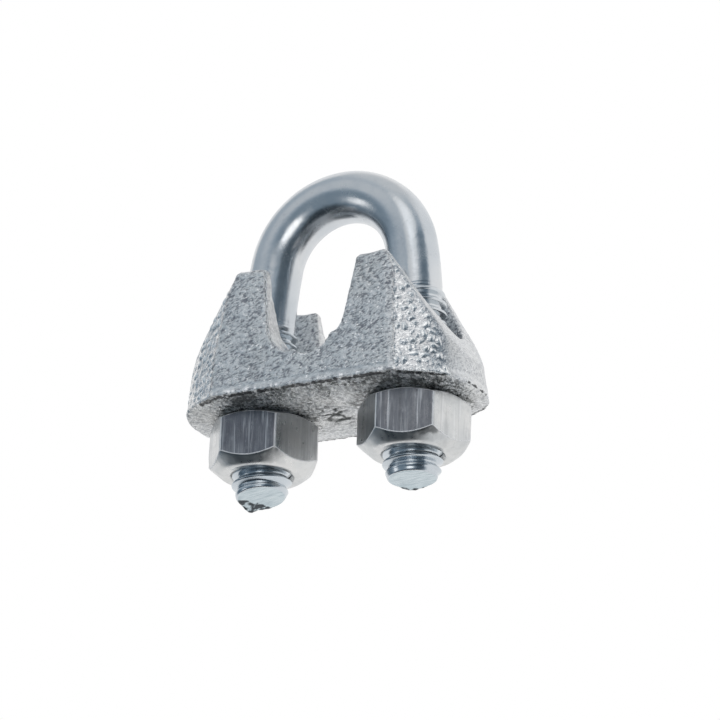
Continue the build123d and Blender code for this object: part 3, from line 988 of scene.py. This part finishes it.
def zinc_nut():
    material = bpy.data.materials.new("zinc_plated_nut")
    m = Graph(material)
    v = m.coords()

    def upright(squash, scale, detail, rough, location=(0, 0, 0)):
        """Noise drawn out along Z."""
        return m.noise(m.coords(scale=(1, 1, squash), location=location), scale, detail, rough)

    # clouded plating with upright bright and dark lines on the flats
    streak = upright(squash=0.05, scale=1500, detail=3, rough=0.6)
    fine = upright(squash=0.03, scale=4200, detail=2, rough=0.6)
    col = m.ramp(
        m.noise(v, scale=300, detail=3, rough=0.55),
        (0.3, (0.60, 0.62, 0.63)),
        (0.5, (0.69, 0.70, 0.70)),
        (0.72, (0.76, 0.76, 0.75)),
    )
    side = m.fade(m.normal_part("Z"), start=0.15, end=0.5, low=1.0, high=0.0)
    lines = m.times(m.fade(streak, start=0.55, end=0.62), side)
    col = m.paint(col, lines, colour=(0.88, 0.89, 0.90), amount=0.50)
    darks = upright(squash=0.06, scale=1900, detail=3, rough=0.6, location=(0.004, 0, 0))
    darks = m.times(m.fade(darks, start=0.55, end=0.64), side)
    col = m.paint(col, darks, colour=(0.40, 0.41, 0.42), amount=0.30)

    # dark drawn skin, scratched and scuffed
    skin = m.ramp(
        upright(squash=0.12, scale=1900, detail=4, rough=0.65),
        (0.30, (0.125, 0.13, 0.15)),
        (0.5, (0.19, 0.195, 0.22)),
        (0.72, (0.33, 0.34, 0.365)),
    )
    scratch = upright(squash=0.03, scale=2800, detail=3, rough=0.6, location=(0.002, 0, 0))
    scratch = m.fade(scratch, start=0.55, end=0.61)
    skin = m.paint(skin, scratch, colour=(0.62, 0.63, 0.66), amount=0.8)
    scuff_place = (0.003, 0.002, 0.001)
    scuff = upright(squash=0.22, scale=2600, detail=4, rough=0.7, location=scuff_place)
    scuff = m.fade(scuff, start=0.60, end=0.68)
    skin = m.paint(skin, scuff, colour=(0.60, 0.62, 0.66), amount=0.45)
    col = m.paint(col, m.attribute("dull"), colour=skin)

    # mottling, the dark lens on the chamfer, and the edges painted bright, part wear and part
    # painted highlight
    mottle = m.fade(m.noise(v, scale=1700, detail=4, rough=0.7), start=0.50, end=0.66)
    col = m.paint(col, mottle, colour=(0.40, 0.41, 0.42), amount=0.22)
    lens = m.fade(m.noise(v, scale=900, detail=3, rough=0.6), start=0.36, end=0.52, low=0.55)
    lens = m.times(m.attribute("lens"), lens)
    col = m.paint(col, lens, colour=(0.10, 0.105, 0.11), amount=0.85)
    edge_noise = m.noise(v, scale=1300, detail=3, rough=0.65)
    edge = m.ragged(m.attribute("wear_and_highlight"), 0.35, edge_noise, start=0.42, end=0.62)
    col = m.paint(col, edge, colour=(0.97, 0.97, 0.98), amount=0.90)

    rough = m.plus(m.times(streak, 0.6), m.times(m.noise(v, scale=800, detail=3), 0.4))
    rough = m.fade(rough, start=0.3, end=0.7, low=0.22, high=0.42)
    rough = m.plus(rough, m.times(edge, 0.25))
    height = m.times(m.plus(streak, m.times(fine, 0.5)), side)
    height = m.plus(height, m.times(m.noise(v, scale=2600, detail=3, rough=0.6), 0.35))
    metallic = m.inverse(edge, 0.6)
    m.metal(col, rough, height, strength=0.35, distance=0.00007, metallic=metallic)
    return material


def pale_floor():
    """Pale matt floor that can't be seen from below or in reflections."""
    material = bpy.data.materials.new("pale_floor")
    m = Graph(material)
    backfacing = m.add("ShaderNodeNewGeometry").outputs["Backfacing"]
    glossy_ray = m.add("ShaderNodeLightPath").outputs["Is Glossy Ray"]
    colour = m.ramp(
        m.noise(m.coords(), scale=40, detail=3, rough=0.5),
        (0.3, (0.86, 0.86, 0.86)),
        (0.7, (0.90, 0.90, 0.895)),
    )
    inputs = {
        0: m.maximum(backfacing, glossy_ray),
        1: m.add("ShaderNodeBsdfDiffuse", {"Color": colour}).outputs[0],
        2: m.add("ShaderNodeBsdfTransparent").outputs[0],
    }
    shader = m.add("ShaderNodeMixShader", inputs).outputs[0]
    m.add("ShaderNodeOutputMaterial", {"Surface": shader})
    return material


# ============================================================ floor, light and camera


def build_floor():
    half, cells = 0.6, 24            # half width in metres
    z = bolt_low.z - 0.00002
    ticks = [half * (2 * i / cells - 1) for i in range(cells + 1)]
    verts = [(x, y, z) for y in ticks for x in ticks]
    row = cells + 1
    corners = [j * row + i for j in range(cells) for i in range(cells)]
    mesh = bpy.data.meshes.new("floor")
    mesh.from_pydata(verts, [], [(a, a + 1, a + row + 1, a + row) for a in corners])
    mesh.update()
    floor = bpy.data.objects.new("floor", mesh)
    bpy.context.scene.collection.objects.link(floor)
    mesh.materials.append(pale_floor())


# soft lamps: azimuth (0 is -Y, 90 is +X) and elevation, full within the inner angle and
# gone at the outer one, all in degrees, then the level added
LAMPS = (
    (18, -14, 9, 19, 1.35),
    (12, 26, 8, 18, 0.30),
    (-50, -16, 6, 13, 1.1),
    (-32, 38, 10, 28, 0.12),
    (30, 43, 8, 24, 0.65),
)


def build_world():
    """A dim room in front and a white screen behind; the camera sees plain white."""
    world = bpy.data.worlds.new("studio")
    bpy.context.scene.world = world
    w = Graph(world, idle=0.5)
    generated = w.add("ShaderNodeTexCoord").outputs["Generated"]
    direction = w.add("ShaderNodeVectorMath", {0: generated}, operation="NORMALIZE").outputs[0]
    x, y, z = w.add("ShaderNodeSeparateXYZ", {0: direction}).outputs
    to_degrees = math.degrees(1)
    azimuth = w.times(w.math("ARCTAN2", x, w.times(y, -1.0)), to_degrees)
    elevation = w.times(w.math("ARCSINE", z), to_degrees)

    def soft(value, start, end, low=0.0, high=1.0):
        return w.fade(value, start, end, low, high, interpolation="SMOOTHSTEP")

    def lamp(azimuth_deg, elevation_deg, inner, outer):
        a, e = math.radians(azimuth_deg), math.radians(elevation_deg)
        aim = (math.sin(a) * math.cos(e), -math.cos(a) * math.cos(e), math.sin(e))
        dot = w.add("ShaderNodeVectorMath", {0: direction, 1: aim}, operation="DOT_PRODUCT")
        start, end = math.cos(math.radians(outer)), math.cos(math.radians(inner))
        return soft(dot.outputs["Value"], start, end)

    # the room: a grey ceiling, darker walls at its right and left, a dark floor
    front = w.times(soft(azimuth, start=-112, end=-92), soft(azimuth, start=97, end=80))
    ceiling = soft(elevation, start=5, end=24, low=0.28, high=0.52)
    room = w.times(ceiling, soft(elevation, start=-48, end=-32, low=0.16))
    right = w.times(soft(azimuth, start=36, end=46), soft(azimuth, start=94, end=78))
    right = w.times(right, soft(elevation, start=46, end=33))
    left = w.times(soft(azimuth, start=-106, end=-96), soft(azimuth, start=-66, end=-80))
    left = w.times(left, soft(elevation, start=30, end=12))
    room = w.without(w.without(room, right, 0.62), left, 0.40)
    screen = soft(elevation, start=50, end=85, low=0.96, high=0.80)
    level = w.plus(w.times(room, front), w.without(screen, front))
    overhead = soft(elevation, start=55, end=80)
    level = w.plus(w.without(level, overhead), w.times(overhead, 0.68))
    for *place, amount in LAMPS:
        level = w.plus(level, w.times(lamp(*place), amount))

    # dim parts are bluish
    camera_ray = w.add("ShaderNodeLightPath").outputs["Is Camera Ray"]
    strength = w.add("ShaderNodeMix", {0: camera_ray, 2: level, 3: 1.0}, data_type="FLOAT")
    neutral = w.maximum(soft(level, start=0.15, end=0.85), camera_ray)
    tint = w.paint((0.74, 0.98, 1.20), neutral, colour=(1.0, 1.0, 1.0))
    inputs = {"Color": tint, "Strength": strength.outputs[0]}
    background = w.add("ShaderNodeBackground", inputs).outputs[0]
    w.add("ShaderNodeOutputWorld", {"Surface": background})


CAMERA_AZIMUTH, CAMERA_ELEVATION = math.radians(28.09), math.radians(-20.72)
CAMERA_ROLL = math.radians(1.96)
CAMERA_DISTANCE = 473.0
# where the middle of the saddle's underside lies, right of and above the view axis
SADDLE_RIGHT, SADDLE_UP = -2.052, -5.228


def build_camera():
    back = Vector((
        math.sin(CAMERA_AZIMUTH) * math.cos(CAMERA_ELEVATION),
        -math.cos(CAMERA_AZIMUTH) * math.cos(CAMERA_ELEVATION),
        math.sin(CAMERA_ELEVATION),
    ))
    ahead = -back
    level_right = ahead.cross(Vector((0, 0, 1))).normalized()
    level_up = level_right.cross(ahead)
    cos, sin = math.cos(CAMERA_ROLL), math.sin(CAMERA_ROLL)
    right = cos * level_right + sin * level_up
    up = -sin * level_right + cos * level_up
    place = -SADDLE_RIGHT * right - SADDLE_UP * up - CAMERA_DISTANCE * ahead
    place.z += UNDER
    matrix = Matrix((right, up, back)).transposed().to_4x4()
    matrix.translation = [part * MM for part in place]

    data = bpy.data.cameras.new("camera")
    data.sensor_width = 36.0
    data.lens = 243.35
    data.clip_start = 0.01
    data.clip_end = 10.0
    camera = bpy.data.objects.new("camera", data)
    camera.matrix_world = matrix
    bpy.context.scene.collection.objects.link(camera)
    bpy.context.scene.camera = camera


# ============================================================ assemble
saddle = build_saddle()
u_bolt = build_u_bolt()
nut_left, nut_right = (build_nut(*nut) for nut in NUTS)
cast_material, bar_material, nut_material = galvanised_casting(), zinc_bar(), zinc_nut()

# object, frame node, slot, material
PARTS = (
    (saddle, "saddle", "saddle", cast_material),
    (u_bolt, "u_bolt", "u_bolt", bar_material),
    (nut_left, "nut_left", "nut", nut_material),
    (nut_right, "nut_right", "nut", nut_material),
)
for ob, node, _, material in PARTS:
    ob.data.materials.append(material)
    cad_materials = frame["nodes"][node].data.materials
    cad_materials.clear()
    cad_materials.append(material)
for ob, node, slot, _ in PARTS:
    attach(ob, node)
    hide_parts(node)

build_floor()
build_world()
build_camera()
bpy.context.scene.view_settings.view_transform = "Standard"
bpy.context.scene.view_settings.look = "None"
